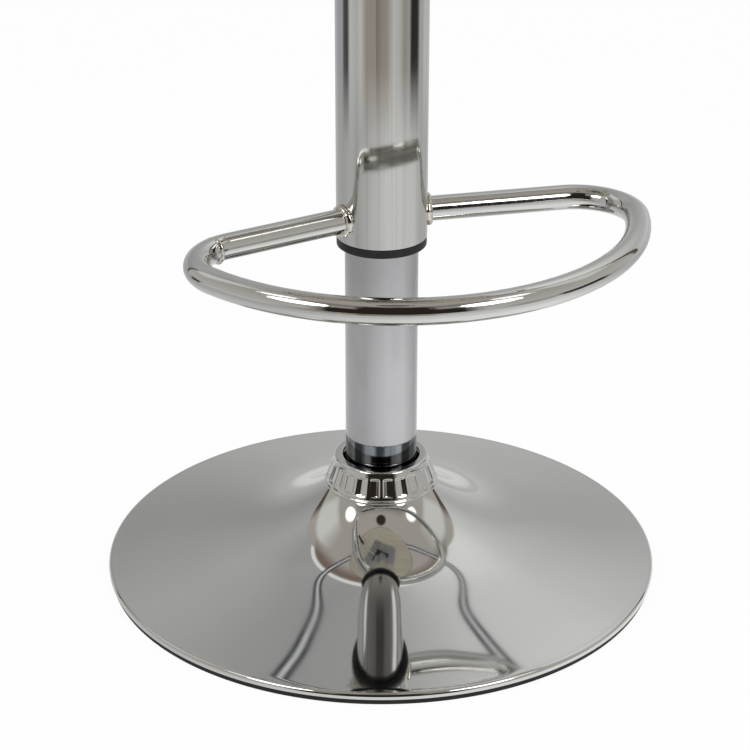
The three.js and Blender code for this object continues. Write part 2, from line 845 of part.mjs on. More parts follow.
function seatScrew([x, y]) {
  const seatZ = plateBottomZ - gap;
  const tipZ = seatZ + screwLength;
  const profile = [
    [0, seatZ - screwHeadHeight],
    [screwHeadR * screwCrownShare, seatZ - screwHeadHeight],
    [screwHeadR, seatZ - screwHeadHeight * screwBrimShare],
    [screwHeadR, seatZ],
    [screwR, seatZ],
    [screwR, tipZ - screwR],
    [screwR * screwTipShare, tipZ],
    [0, tipZ],
  ];
  return turned(profile, screwSegments).translate(x, y, 0);
}

function seatBoard() {
  const body = rod(bandInnerR - boardClearance, boardBottomZ, boardTopZ, seatSegments);
  return withScrewHoles(body, boardBottomZ, boardTopZ);
}

function seatBand() {
  const bottomZ = boardBottomZ + bandDrop;
  const outerR = bandInnerR + bandWall;
  const ribR = outerR + bandRibDepth;
  const ribHeight = bandHeight / (2 * bandRibCount - 1);
  const soft = bandRibShare * ribHeight;
  const ribs = Array.from({ length: bandRibCount }, (_, i) => {
    const z = bottomZ + 2 * i * ribHeight;
    const topZ = z + ribHeight;
    return [[outerR, z], [ribR, z + soft], [ribR, topZ - soft], [outerR, topZ]];
  });
  return turned([[bandInnerR, bottomZ], ...ribs.flat(), [bandInnerR, bottomZ + bandHeight]], seatSegments);
}

function seatCushion() {
  const tuckR = bandInnerR - cushionClearance;
  const fullR = bandInnerR + cushionBulge;
  const bandTopZ = boardBottomZ + bandDrop + bandHeight;
  const tuckZ = bandTopZ + gap;
  const crown = cushionCrownShares.map(([r, z]) => [r * fullR, cushionBottomZ + z * cushionHeight]);
  const profile = [
    [0, cushionBottomZ],
    [tuckR, cushionBottomZ],
    [tuckR, tuckZ],
    ...crown,
    [0, cushionBottomZ + cushionHeight],
  ];
  return turned(profile, seatSegments);
}

// The stool

const stool = new THREE.Group();
stool.name = 'counter_stool';

function addPiece(name, geometry, look) {
  const mesh = new THREE.Mesh(geometry, new THREE.MeshStandardMaterial(look));
  geometry.computeVertexNormals();
  mesh.name = name;
  stool.add(mesh);
}

addPiece('base_shell', baseShell(), chrome);
addPiece('floor_ring', floorRing(), blackRubber);
addPiece('ballast_plate', ballastPlate(), plainSteel);
addPiece('socket_tube', socketTube(), plainSteel);
addPiece('trim_collar', trimCollar(), chrome);
addPiece('column_tube', columnTube(), satinSteel);
addPiece('lower_race', race(lowerRaceZ), plainSteel);
addPiece('ball_cage', ballCage(), ballSteel);
addPiece('guide_bush', guideBush(), naturalPlastic);
addPiece('upper_race', race(upperRaceZ), plainSteel);
addPiece('rod_buffer', rodBuffer(), blackRubber);
addPiece('piston_rod', pistonRod(), chrome);
addPiece('piston', piston(), blackPlastic);
addPiece('retaining_clip', retainingClip(), plainSteel);
addPiece('gas_cylinder', gasCylinder(), blackSteel);
addPiece('rod_gland', rodGland(), blackPlastic);
addPiece('cover_tube', coverTube(), satinSteel);
addPiece('sleeve_bush', sleeveBush(), blackPlastic);
addPiece('footrest_hoop', footrestHoop(), chrome);
addPiece('footrest_stub', footrestStub(), chrome);
addPiece('mechanism_housing', mechanismHousing(), blackSteel);
addPiece('pivot_pin', pivotPin(), plainSteel);
addPiece('release_lever', releaseLever(), chrome);
addPiece('lever_grip', leverGrip(), blackPlastic);
addPiece('valve_pin', valvePin(), plainSteel);
addPiece('seat_plate', seatPlate(), plainSteel);
screwPlaces.forEach((place, i) => addPiece(`seat_screw_${i + 1}`, seatScrew(place), plainSteel));
addPiece('seat_board', seatBoard(), plywood);
addPiece('seat_cushion', seatCushion(), creamVinyl);
addPiece('seat_band', seatBand(), chrome);

export default stool;
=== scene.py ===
import math

import bmesh
import bpy
from mathutils import Matrix, Vector


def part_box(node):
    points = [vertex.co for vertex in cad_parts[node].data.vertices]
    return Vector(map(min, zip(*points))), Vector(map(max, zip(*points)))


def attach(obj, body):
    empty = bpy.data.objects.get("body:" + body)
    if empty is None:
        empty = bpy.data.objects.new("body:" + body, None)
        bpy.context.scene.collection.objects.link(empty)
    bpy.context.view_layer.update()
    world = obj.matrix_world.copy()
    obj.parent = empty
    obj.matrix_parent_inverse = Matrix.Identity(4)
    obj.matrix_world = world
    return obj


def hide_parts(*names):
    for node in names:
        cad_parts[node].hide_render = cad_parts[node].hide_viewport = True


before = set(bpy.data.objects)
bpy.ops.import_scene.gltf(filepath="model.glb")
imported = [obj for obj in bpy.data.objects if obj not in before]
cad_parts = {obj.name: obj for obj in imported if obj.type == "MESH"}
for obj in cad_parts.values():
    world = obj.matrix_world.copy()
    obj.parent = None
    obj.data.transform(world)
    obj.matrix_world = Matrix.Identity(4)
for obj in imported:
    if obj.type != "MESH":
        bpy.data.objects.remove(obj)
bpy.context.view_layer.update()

# A counter stool in plated steel: spun base, fluted collar, telescoping column,
# bent footrest and a padded seat. Metres, +Z up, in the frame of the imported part.

MM = 0.001
FULL_TURN = 2 * math.pi


# Sizes that come from the frame


def corners(node):
    low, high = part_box(node)
    return Vector(low), Vector(high)


def outer_radius(node):
    low, high = corners(node)
    return (high.x - low.x) / 2


def heights(node):
    low, high = corners(node)
    return low.z, high.z


rim_r = outer_radius("base_shell")
rim_bottom, neck_top = heights("base_shell")
column_r = outer_radius("column_tube")
column_bottom, column_top = heights("column_tube")
cover_r = outer_radius("cover_tube")
cover_bottom, cover_top = heights("cover_tube")
collar_bottom, collar_top = heights("trim_collar")

# Base shell. Its slope is a cone's, plus a flare that ends at the shoulder, plus a steep throat.
sheet = 1.6 * MM
rim_height = 4.2 * MM
rim_roll = 3 * MM
neck_r = 36.5 * MM
flare_r = 38 * MM
shoulder_r = 93 * MM
slope_share = 0.205
flare_share = 0.78
flare_power = 1.35
shoulder_power = 9
throat_share = 0.3
throat_power = 12
slope_rows = 90
slope_steps = 160

# Camera, solved from the photograph
PHOTO_SIZE = 750
camera_azimuth = math.radians(-22.96)
camera_pitch = math.radians(24.751)
camera_distance = 1399.5 * MM
camera_height = 789.6 * MM
camera_roll = 0.0025
focal_pixels = 2214.4
axis_column_pixel = 381.32
sensor_width = 36


# Camera and studio


def place_camera():
    """The photographer's place: turned round the stool, raised, tilted down and slightly rolled."""
    camera = bpy.data.cameras.new("camera")
    camera.sensor_width = sensor_width
    camera.lens = focal_pixels / PHOTO_SIZE * sensor_width
    camera.shift_x = (PHOTO_SIZE / 2 - axis_column_pixel) / PHOTO_SIZE
    camera.clip_end = 50
    holder = bpy.data.objects.new("camera", camera)
    bpy.context.scene.collection.objects.link(holder)
    turn = Matrix.Rotation(camera_azimuth, 4, "Z")
    place = turn @ Matrix.Translation((0, -camera_distance, camera_height))
    tilt = Matrix.Rotation(math.pi / 2 - camera_pitch, 4, "X") @ Matrix.Rotation(camera_roll, 4, "Z")
    holder.matrix_world = place @ tilt
    bpy.context.scene.camera = holder


place_camera()


class Value:
    """A number inside a shader, usable in ordinary sums."""

    def __init__(self, tree, socket):
        self.tree = tree
        self.socket = socket

    def _math(self, operation, first, second):
        node = self.tree.nodes.new("ShaderNodeMath")
        node.operation = operation
        for slot, value in zip(node.inputs, (first, second)):
            if isinstance(value, Value):
                self.tree.links.new(value.socket, slot)
            else:
                slot.default_value = value
        return Value(self.tree, node.outputs[0])

    def __add__(self, other):
        return self._math("ADD", self, other)

    __radd__ = __add__

    def __sub__(self, other):
        return self._math("SUBTRACT", self, other)

    def __rsub__(self, other):
        return self._math("SUBTRACT", other, self)

    def __mul__(self, other):
        return self._math("MULTIPLY", self, other)

    __rmul__ = __mul__

    def __truediv__(self, other):
        return self._math("DIVIDE", self, other)

    def __pow__(self, other):
        return self._math("POWER", self, other)

    def over(self, other):
        """Whichever is larger."""
        return self._math("MAXIMUM", self, other)


class Nodes:
    """Adds nodes to one tree."""

    def __init__(self, tree):
        self.tree = tree

    def add(self, kind, settings=(), inputs=()):
        node = self.tree.nodes.new(kind)
        for key, value in dict(settings).items():
            if key == "stops":
                self.set_stops(node, value)
            else:
                setattr(node, key, value)
        for key, value in dict(inputs).items():
            self.feed(node.inputs[key], value)
        return node

    def feed(self, slot, value):
        if isinstance(value, Value):
            self.tree.links.new(value.socket, slot)
        elif isinstance(value, bpy.types.NodeSocket):
            self.tree.links.new(value, slot)
        else:
            slot.default_value = value

    def set_stops(self, node, stops):
        elements = node.color_ramp.elements
        while len(elements) > 1:
            elements.remove(elements[-1])
        elements[0].position, elements[0].color = stops[0]
        for position, colour in stops[1:]:
            elements.new(position).color = colour

    def value(self, kind, output=0, settings=(), inputs=()):
        return Value(self.tree, self.add(kind, settings, inputs).outputs[output])

    def place(self, scale=(1, 1, 1)):
        """Object coordinates, stretched."""
        coordinates = self.add("ShaderNodeTexCoord").outputs["Object"]
        return self.add("ShaderNodeMapping", inputs={"Vector": coordinates, "Scale": scale}).outputs[0]

    def axes(self):
        """Object coordinates as three numbers."""
        coordinates = self.add("ShaderNodeTexCoord").outputs["Object"]
        split = self.add("ShaderNodeSeparateXYZ", inputs={0: coordinates})
        return [Value(self.tree, output) for output in split.outputs]

    def noise(self, scale, detail=2.0, stretch=(1, 1, 1), distortion=0.0):
        inputs = {"Vector": self.place(stretch), "Scale": scale, "Detail": detail, "Distortion": distortion}
        return self.value("ShaderNodeTexNoise", "Fac", inputs=inputs)

    def ramp(self, value, low, high, start=0.0, end=1.0):
        """A number carried from one range to another, held at both ends."""
        inputs = {"Value": value, "From Min": low, "From Max": high, "To Min": start, "To Max": end}
        return self.value("ShaderNodeMapRange", 0, {"clamp": True}, inputs)

    def mix(self, factor, first, second):
        """A colour between two colours."""
        node = self.add("ShaderNodeMix", {"data_type": "RGBA"}, {0: factor, 6: first, 7: second})
        return node.outputs[2]

    def bump(self, height, strength, distance):
        inputs = {"Height": height, "Strength": strength, "Distance": distance}
        return self.add("ShaderNodeBump", inputs=inputs).outputs[0]


def grey(level):
    return (level, level, level, 1)


def studio_axes(nodes, vector):
    """A direction or place as it lies from the camera: to the right, away and up."""
    inputs = {"Vector": vector, "Rotation": (0, 0, -camera_azimuth)}
    turned = nodes.add("ShaderNodeMapping", inputs=inputs).outputs[0]
    split = nodes.add("ShaderNodeSeparateXYZ", inputs={0: turned})
    return [Value(nodes.tree, output) for output in split.outputs]


def seen_in_metal(nodes):
    """One for a ray that left a polished or a clear surface."""
    glossy = nodes.value("ShaderNodeLightPath", "Is Glossy Ray")
    return glossy.over(nodes.value("ShaderNodeLightPath", "Is Transmission Ray"))


def light_sky():
    """The world: white to the camera, one plain level to matt surfaces, and a painted room to metal."""
    world = bpy.data.worlds.new("studio")
    world.use_nodes = True
    bpy.context.scene.world = world
    nodes = Nodes(world.node_tree)
    background = world.node_tree.nodes["Background"]
    direction = nodes.add("ShaderNodeTexCoord").outputs["Generated"]
    room = painted_room(nodes, *studio_axes(nodes, direction))
    lit = nodes.mix(seen_in_metal(nodes), grey(SKY_LEVEL), room)
    seen = nodes.value("ShaderNodeLightPath", "Is Camera Ray")
    nodes.feed(background.inputs["Color"], nodes.mix(seen, lit, grey(1)))
    background.inputs["Strength"].default_value = 1


def painted_room(nodes, right, away, up):
    """What metal sees, by direction: ceiling, backdrop, side walls, dark far end, painted lamp highlights, a
    painted dark patch and a painted hoop.
    """
    side = right.over(right * -1)
    depth, before = away.over(NEARLY_NONE), (away * -1).over(NEARLY_NONE)
    across, rise, aside = side / depth, up / depth, side / before

    room = nodes.mix(nodes.ramp(up, 0.1, 0.8), LOW_WALL, CEILING)
    above = nodes.ramp(rise, 2.2, 2.3) * nodes.ramp(rise, 3.4, 2.5) * nodes.ramp(across, 1.5, 1.1)
    room = nodes.mix(above, room, DIM_CEILING)
    slit = nodes.ramp(across, 1.46, 1.4) * nodes.ramp(up, 0.62, 0.5)
    room = nodes.mix(slit, room, BROWN)
    within = nodes.ramp(across, 1.21, 1.17)
    room = nodes.mix(within * nodes.ramp(rise, 2.12, 2.02), room, backdrop(nodes, right, side, up))
    bar = within * nodes.ramp(rise, 2.0, 2.04) * nodes.ramp(rise, 2.22, 2.16)
    room = nodes.mix(bar, room, grey(1))

    wall = nodes.ramp(across, 1.42, 1.6) * nodes.ramp(across, 9, 4) * nodes.ramp(away, 0.02, 0.1)
    wall = wall * nodes.ramp(up, 0.45, 0.58) * nodes.ramp(up, 0.9, 0.8)
    room = nodes.mix(wall, room, SIDE_WALL)
    front = nodes.ramp(aside, 2.2, 1.2) * nodes.ramp(up, 0.62, 0.78) * nodes.ramp(up, 0.92, 0.84)
    room = nodes.mix(front, room, FRONT_CEILING)
    wide_end = nodes.ramp(aside, 0.8, 0.55) * nodes.ramp(up, 0.66, 0.5)
    tall_end = nodes.ramp(aside, 0.42, 0.3) * nodes.ramp(up, 0.86, 0.8)
    room = nodes.mix(wide_end.over(tall_end), room, FAR_END)

    # Two small painted lamps high at the sides are painted highlights, seen only in reflections; they light
    # nothing. A painted dark patch hangs over the front.
    lamps = ((side - 0.54) ** 2 + (away + 0.12) ** 2) ** 0.5
    room = nodes.mix(nodes.ramp(lamps, 0.12, 0.09) * nodes.ramp(up, 0.4, 0.6), room, grey(PAINTED_LAMP_LEVEL))
    front_patch = (right**2 + (away + 0.3) ** 2) ** 0.5
    room = nodes.mix(nodes.ramp(front_patch, 0.1, 0.07) * nodes.ramp(up, 0.5, 0.7), room, DARK_FRONT_PATCH)

    # A painted reflection: a thin hoop painted overhead, bright in its middle and dark at its edges like a
    # lit tube.
    over_right, over_away = right / up.over(0.01), away / up.over(0.01)
    hoop = ((((over_right - 0.05) / 0.33) ** 2 + ((over_away - 0.42) / 0.43) ** 2) ** 0.5 - 1) * 0.34
    off = hoop.over(hoop * -1)
    room = nodes.mix(nodes.ramp(off, 0.022, 0.015), room, PAINTED_HOOP_EDGE)
    return nodes.mix(nodes.ramp(off, 0.008, 0.003), room, grey(0.8))


def backdrop(nodes, right, side, up):
    """The grey paper behind the stool, with painted light making it brighter to the right and higher up."""
    level = nodes.ramp(up, 0.0, 0.25, 0.6, 0.47)
    # Painted light: a brighter pool high up at the sides, strongest on the right.
    glow = nodes.ramp(up, 0.35, 0.68, 0, 0.3) * nodes.ramp(side, 0.04, 0.3)
    level = level + glow * nodes.ramp(right, -0.35, 0.1, 0.5, 1) + nodes.ramp(right, -0.3, 0.5, -0.03, 0.16)
    level = level + nodes.ramp(right, -0.13, 0.13, -0.12, 0.12) * nodes.ramp(up, 0.6, 0.76)
    return nodes.add("ShaderNodeCombineColor", inputs={0: level, 1: level, 2: level}).outputs[0]


def lay_floor():
    """White paper that keeps the shadow. Metal also sees where it ends, what stands round it, and painted
    light and shade on it.
    """
    bm = bmesh.new()
    bmesh.ops.create_grid(bm, x_segments=1, y_segments=1, size=6)
    floor = finished("studio_floor", bm)
    material = bpy.data.materials.new("studio_floor")
    material.use_nodes = True
    nodes = Nodes(material.node_tree)
    paper = material.node_tree.nodes["Principled BSDF"]
    paper.inputs["Base Color"].default_value = grey(FLOOR_GREY)
    paper.inputs["Roughness"].default_value = 0.9
    paper.inputs["Specular IOR Level"].default_value = 0.1
    glow = nodes.add("ShaderNodeEmission", inputs={"Color": grey(1), "Strength": 1.0}).outputs[0]
    seen = nodes.value("ShaderNodeLightPath", "Is Camera Ray")
    inputs = {0: seen * FLOOR_GLOW, 1: paper.outputs[0], 2: glow}
    shader = nodes.add("ShaderNodeMixShader", inputs=inputs).outputs[0]
    right, away, _ = studio_axes(nodes, nodes.add("ShaderNodeTexCoord").outputs["Object"])
    angle = nodes.value("ShaderNodeMath", 0, {"operation": "ARCTAN2"}, {0: right, 1: away * -1})
    turn = angle / FULL_TURN + 0.5
    # Painted light and shade on the near paper by angle, seen only in reflections.
    near_light_and_shade = nodes.add("ShaderNodeValToRGB", {"stops": PAINTED_PAPER_LIGHT}, {0: turn}).outputs[0]
    far = nodes.add("ShaderNodeValToRGB", {"stops": PAPER_FAR}, {0: turn}).outputs[0]
    reach = (right**2 + away**2) ** 0.5
    white = nodes.mix(nodes.ramp(reach, *PAPER_BLEND), near_light_and_shade, far)
    # Painted pool of light: the paper close round the stool is brighter in reflections.
    brighter = nodes.ramp(reach, 0.35, 0.62, 1.3, 1.0)
    mirrored = nodes.add("ShaderNodeEmission", inputs={"Color": white, "Strength": brighter}).outputs[0]
    inputs = {0: seen_in_metal(nodes), 1: shader, 2: mirrored}
    shader = nodes.add("ShaderNodeMixShader", inputs=inputs).outputs[0]
    nodes.feed(material.node_tree.nodes["Material Output"].inputs["Surface"], shader)
    floor.data.materials.append(material)


def hang_softbox(name, azimuth):
    """A round soft lamp aimed at the foot of the stool, placed by its angle from the camera."""
    lamp = bpy.data.lights.new(name, "AREA")
    lamp.shape = "ELLIPSE"
    lamp.size, lamp.size_y = SOFTBOX_SIZE
    lamp.energy = SOFTBOX_WATTS
    holder = bpy.data.objects.new(name, lamp)
    bpy.context.scene.collection.objects.link(holder)
    turn = Matrix.Rotation(camera_azimuth + math.radians(azimuth), 4, "Z")
    lift = math.radians(SOFTBOX_ELEVATION)
    place = turn @ Vector((0, -SOFTBOX_DISTANCE * math.cos(lift), SOFTBOX_DISTANCE * math.sin(lift)))
    aim = SOFTBOX_AIM - place
    holder.matrix_world = Matrix.Translation(place) @ aim.to_track_quat("-Z", "Y").to_matrix().to_4x4()


# Mesh tools


def finished(name, bm, smooth=None):
    """Turns a bmesh into an object, smooth-shaded up to an angle."""
    mesh = bpy.data.meshes.new(name)
    bm.to_mesh(mesh)
    bm.free()
    if smooth is not None:
        mesh.shade_smooth()
        mesh.set_sharp_from_angle(angle=math.radians(smooth))
    piece = bpy.data.objects.new(name, mesh)
    bpy.context.scene.collection.objects.link(piece)
    return piece


def eased(profile, r, steps=3):
    """A closed profile with its corners rounded, apart from those on the axis."""
    points = []
    count = len(profile)
    for i, (x, z) in enumerate(profile):
        here = Vector((x, z))
        before = Vector(profile[i - 1]) - here
        after = Vector(profile[(i + 1) % count]) - here
        if x == 0 or before.angle(after) > math.radians(172):
            points.append((x, z))
            continue
        cut = min(r, 0.4 * before.length, 0.4 * after.length)
        start, end = here + before.normalized() * cut, here + after.normalized() * cut
        holds = [here + side.normalized() * 1.2 * cut for side in (before, after)]
        points.append(tuple(holds[0]))
        for step in range(steps + 1):
            t = step / steps
            point = start * (1 - t) ** 2 + here * (2 * t * (1 - t)) + end * t**2
            points.append((point.x, point.y))
        points.append(tuple(holds[1]))
    return points


def spun(name, profile, steps=160, smooth=30):
    """A closed profile of (radius, height) points spun round the column's axis."""
    bm = bmesh.new()
    verts = [bm.verts.new((r, 0, z)) for r, z in profile]
    edges = [bm.edges.new(pair) for pair in zip(verts, verts[1:])]
    if profile[0][0] > 0:
        edges.append(bm.edges.new((verts[-1], verts[0])))
    spin_full(bm, verts + edges, steps)
    return finished(name, bm, smooth)


def spin_full(bm, geometry, steps, centre=(0, 0, 0), axis=(0, 0, 1)):
    bmesh.ops.spin(
        bm,
        geom=geometry,
        cent=centre,
        axis=axis,
        dvec=(0, 0, 0),
        angle=FULL_TURN,
        steps=steps,
        use_merge=True,
        use_duplicate=False,
    )
    bmesh.ops.remove_doubles(bm, verts=bm.verts, dist=1e-7)
    bmesh.ops.recalc_face_normals(bm, faces=bm.faces)


def ring(inner, outer, bottom, top):
    return [(inner, bottom), (outer, bottom), (outer, top), (inner, top)]


# Finishes


class Finish:
    """A material with its Principled shader and node tools."""

    def __init__(self, name, colour, roughness, metallic=0.0):
        self.material = bpy.data.materials.new(name)
        self.material.use_nodes = True
        self.nodes = Nodes(self.material.node_tree)
        self.shader = self.material.node_tree.nodes["Principled BSDF"]
        self.set("Base Color", colour)
        self.set("Roughness", roughness)
        self.set("Metallic", metallic)

    def set(self, name, value):
        self.nodes.feed(self.shader.inputs[name], value)


CHROME = (0.585, 0.585, 0.57, 1)
CHROME_DARK = (0.52, 0.52, 0.5, 1)
CHROME_LIGHT = (0.64, 0.64, 0.62, 1)


def base_chrome():
    """Plate on a spun disc: nearly a mirror, with slow waves from spinning, light haze and a few specks."""
    finish = Finish("base_chrome", CHROME, 0.04, 1.0)
    nodes = finish.nodes
    waves = nodes.noise(13, 0.0, distortion=0.3)
    haze = nodes.ramp(nodes.noise(9, 4.0), 0.42, 0.75)
    specks = nodes.ramp(nodes.noise(420, 2.0), 0.78, 0.84)
    finish.set("Base Color", nodes.mix(haze * 0.4 + specks * 0.4, CHROME, CHROME_DARK))
    finish.set("Roughness", 0.035 + haze * 0.05 + specks * 0.2)
    finish.set("Normal", nodes.bump(waves, 0.25, 0.0015))
    return finish.material


def bright_chrome():
    """Plate on tube and trim: a clear mirror with faint orange peel."""
    finish = Finish("bright_chrome", CHROME, 0.035, 1.0)
    nodes = finish.nodes
    smear = nodes.ramp(nodes.noise(60, 3.0), 0.45, 0.8)
    finish.set("Roughness", 0.03 + smear * 0.06)
    finish.set("Normal", nodes.bump(nodes.noise(160, 2.0), 0.15, 0.0004))
    return finish.material


def drawn_chrome():
    """Plate over drawn tube: soft lines run up the column."""
    finish = Finish("drawn_chrome", CHROME, 0.07, 1.0)
    nodes = finish.nodes
    lines = nodes.noise(1100, 3.0, stretch=(1, 1, 0.01))
    broad = nodes.noise(160, 2.0, stretch=(1, 1, 0.04))
    smear = nodes.ramp(nodes.noise(45, 4.0), 0.45, 0.8)
    drawn = nodes.ramp(nodes.noise(330, 3.0, stretch=(1, 1, 0.006)), 0.35, 0.65)
    finish.set("Base Color", nodes.mix(drawn * 0.8 + broad * 0.2, CHROME_LIGHT, CHROME_DARK))
    finish.set("Roughness", 0.05 + lines * 0.04 + smear * 0.04)
    finish.set("Normal", nodes.bump(lines + broad, 0.08, 0.0003))
    return finish.material


SATIN = (0.46, 0.46, 0.47, 1)
SATIN_DARK = (0.38, 0.38, 0.39, 1)
# Near-black colour of the polished band, and its painted reflection streaks.
NEAR_BLACK_BAND = (0.035, 0.038, 0.042, 1)
PAINTED_REFLECTION_STREAK = (0.24, 0.26, 0.28, 1)
POLISHED_TOP = 101 * MM


def satin_column():
    """Fine upright grain, ending in a near-black polished band above the collar with painted reflection
    streaks.
    """
    finish = Finish("satin_column", CHROME, 0.12, 1.0)
    nodes = finish.nodes
    _, _, height = nodes.axes()
    band = nodes.ramp(height, POLISHED_TOP - 0.4 * MM, POLISHED_TOP + 0.4 * MM)
    lines = nodes.noise(1500, 3.0, stretch=(1, 1, 0.008))
    smear = nodes.ramp(nodes.noise(70, 4.0, stretch=(1, 1, 0.35)), 0.45, 0.75)
    specks = nodes.ramp(nodes.noise(700, 2.0, stretch=(1, 1, 0.5)), 0.72, 0.78)
    satin = nodes.mix(smear * 0.5 + specks * 0.5, SATIN, SATIN_DARK)
    # Painted reflection: lighter upright streaks in the band's near-black colour.
    painted_reflection_streaks = nodes.ramp(nodes.noise(150, 2.0, stretch=(1, 1, 0.02)), 0.42, 0.62)
    polished = nodes.mix(painted_reflection_streaks, NEAR_BLACK_BAND, PAINTED_REFLECTION_STREAK)
    finish.set("Base Color", nodes.mix(band, polished, satin))
    finish.set("Roughness", 0.03 + band * (0.06 + lines * 0.06 + smear * 0.04))
    finish.set("Normal", nodes.bump(lines * band, 0.12, 0.0003))
    return finish.material


def weld_chrome():
    """Plated weld metal: bright, with small uneven hollows."""
    finish = Finish("weld_chrome", (0.6, 0.58, 0.52, 1), 0.08, 1.0)
    nodes = finish.nodes
    pits = nodes.noise(300, 2.0)
    finish.set("Roughness", 0.05 + nodes.ramp(pits, 0.4, 0.7) * 0.12)
    finish.set("Normal", nodes.bump(pits, 0.35, 0.0009))
    return finish.material


def rubber():
    """Black rubber, dusty in patches."""
    finish = Finish("black_rubber", (0.012, 0.012, 0.012, 1), 0.6)
    finish.set("Specular IOR Level", 0.25)
    nodes = finish.nodes
    dust = nodes.ramp(nodes.noise(90, 5.0), 0.5, 0.8)
    finish.set("Base Color", nodes.mix(dust * 0.5, (0.01, 0.01, 0.01, 1), (0.05, 0.05, 0.048, 1)))
    finish.set("Roughness", 0.55 + dust * 0.25)
    finish.set("Normal", nodes.bump(nodes.noise(900, 2.0), 0.2, 0.0003))
    return finish.material


def moulded(name, colour, worn):
    """Moulded plastic with a fine eroded texture."""
    finish = Finish(name, colour, 0.45)
    finish.set("Specular IOR Level", 0.2)
    nodes = finish.nodes
    patch = nodes.ramp(nodes.noise(40, 4.0), 0.45, 0.75)
    finish.set("Base Color", nodes.mix(patch * 0.6, colour, worn))
    finish.set("Roughness", 0.4 + patch * 0.15)
    finish.set("Normal", nodes.bump(nodes.noise(1400, 2.0), 0.25, 0.0002))
    return finish.material


def plain_steel():
    """Machined steel with its turning lines and some stain."""
    finish = Finish("plain_steel", (0.45, 0.45, 0.46, 1), 0.35, 1.0)
    nodes = finish.nodes
    rings = nodes.noise(500, 3.0, stretch=(0.2, 0.2, 1))
    stain = nodes.ramp(nodes.noise(30, 4.0), 0.45, 0.75)
    finish.set("Base Color", nodes.mix(stain * 0.6, (0.45, 0.45, 0.46, 1), (0.3, 0.29, 0.28, 1)))
    finish.set("Roughness", 0.25 + rings * 0.2 + stain * 0.15)
    finish.set("Normal", nodes.bump(rings, 0.15, 0.0003))
    return finish.material


def black_coat():
    """Black powder coat with its pebbled skin."""
    finish = Finish("black_coat", (0.02, 0.02, 0.021, 1), 0.4)
    nodes = finish.nodes
    pebble = nodes.noise(800, 2.0)
    rub = nodes.ramp(nodes.noise(55, 5.0), 0.55, 0.8)
    finish.set("Base Color", nodes.mix(rub * 0.5, (0.018, 0.018, 0.02, 1), (0.06, 0.06, 0.06, 1)))
    finish.set("Roughness", 0.35 + pebble * 0.15)
    finish.set("Normal", nodes.bump(pebble, 0.4, 0.0003))
    return finish.material


def plywood():
    """Birch ply: long grain on the faces, thin layers at the edge."""
    finish = Finish("plywood", (0.5, 0.35, 0.19, 1), 0.6)
    nodes = finish.nodes
    grain = nodes.noise(60, 5.0, stretch=(0.08, 1, 1), distortion=0.6)
    _, _, height = nodes.axes()
    layers = nodes.value("ShaderNodeMath", 0, {"operation": "PINGPONG"}, {0: height, 1: 1.5 * MM})
    tone = nodes.ramp(grain, 0.3, 0.7) * 0.7 + nodes.ramp(layers, 0, 1.5 * MM) * 0.3
    finish.set("Base Color", nodes.mix(tone, (0.64, 0.6, 0.49, 1), (0.52, 0.47, 0.37, 1)))
    finish.set("Roughness", 0.55 + grain * 0.2)
    finish.set("Normal", nodes.bump(grain, 0.3, 0.0004))
    return finish.material


def seat_vinyl():
    """Cream upholstery vinyl with a fine pebble grain and a soft shine."""
    finish = Finish("seat_vinyl", (0.78, 0.74, 0.66, 1), 0.45)
    nodes = finish.nodes
    inputs = {"Vector": nodes.place(), "Scale": 520}
    cells = nodes.value("ShaderNodeTexVoronoi", "Distance", {"feature": "DISTANCE_TO_EDGE"}, inputs)
    grain = nodes.ramp(cells, 0.0, 0.25)
    wear = nodes.ramp(nodes.noise(14, 5.0), 0.45, 0.75)
    crease = nodes.noise(38, 4.0, distortion=0.8)
    finish.set("Base Color", nodes.mix(wear * 0.7, (0.8, 0.765, 0.69, 1), (0.69, 0.645, 0.56, 1)))
    finish.set("Roughness", 0.4 + wear * 0.12 - grain * 0.05)
    finish.set("Normal", nodes.bump(grain * 0.3 + crease, 0.25, 0.0006))
    return finish.material


# Base


def shell_slope(r):
    flare = flare_share * (flare_r / r) ** flare_power
    throat = throat_share * (flare_r / r) ** throat_power
    return slope_share + flare / (1 + (r / shoulder_r) ** shoulder_power) + throat


def shell_height(r):
    """The slope added up from the rim inwards."""
    step = (rim_r - rim_roll - r) / slope_steps
    return rim_bottom + rim_height + step * sum(shell_slope(r + (i + 0.5) * step) for i in range(slope_steps))


def shell_underside(r):
    slope = shell_slope(r)
    length = math.hypot(1, slope)
    return r - sheet * slope / length, shell_height(r) - sheet / length


def spun_base():
    """The base disc: rolled rim, cone, flare, and the neck that goes up under the collar."""
    start = rim_r - rim_roll
    roll = [i * math.pi / 12 for i in range(7)]
    centre_z = rim_bottom + rim_height - rim_roll
    rim = [(start + rim_roll * math.cos(turn), centre_z + rim_roll * math.sin(turn)) for turn in roll]
    rows = [start * (neck_r / start) ** ((i + 1) / slope_rows) for i in range(slope_rows)]
    outer = [(r, shell_height(r)) for r in rows]
    inner = [shell_underside(r) for r in reversed(rows[::2])]
    lip_r = column_r + 0.4 * MM
    profile = [
        (rim_r, rim_bottom),
        *rim,
        *outer,
        (neck_r, neck_top),
        (lip_r, neck_top),
        (lip_r, neck_top - sheet),
        (neck_r - sheet, neck_top - sheet),
        *inner,
        shell_underside(start),
        (rim_r - sheet, centre_z),
        (rim_r - sheet, rim_bottom),
    ]
    return spun("spun_base", profile, 224, 40)


def edge_ring():
    """The rubber ring under the rim, with its inner edge under the ballast plate."""
    low, _ = heights("floor_ring")
    ledge = 4 * MM
    inner = outer_radius("ballast_plate") - 12 * MM
    profile = eased(ring(inner, outer_radius("floor_ring"), low, ledge), 0.8 * MM)
    return spun("edge_ring", profile, 224, 40)


COLLAR_FLUTES = 24
COLLAR_COLUMNS = 20


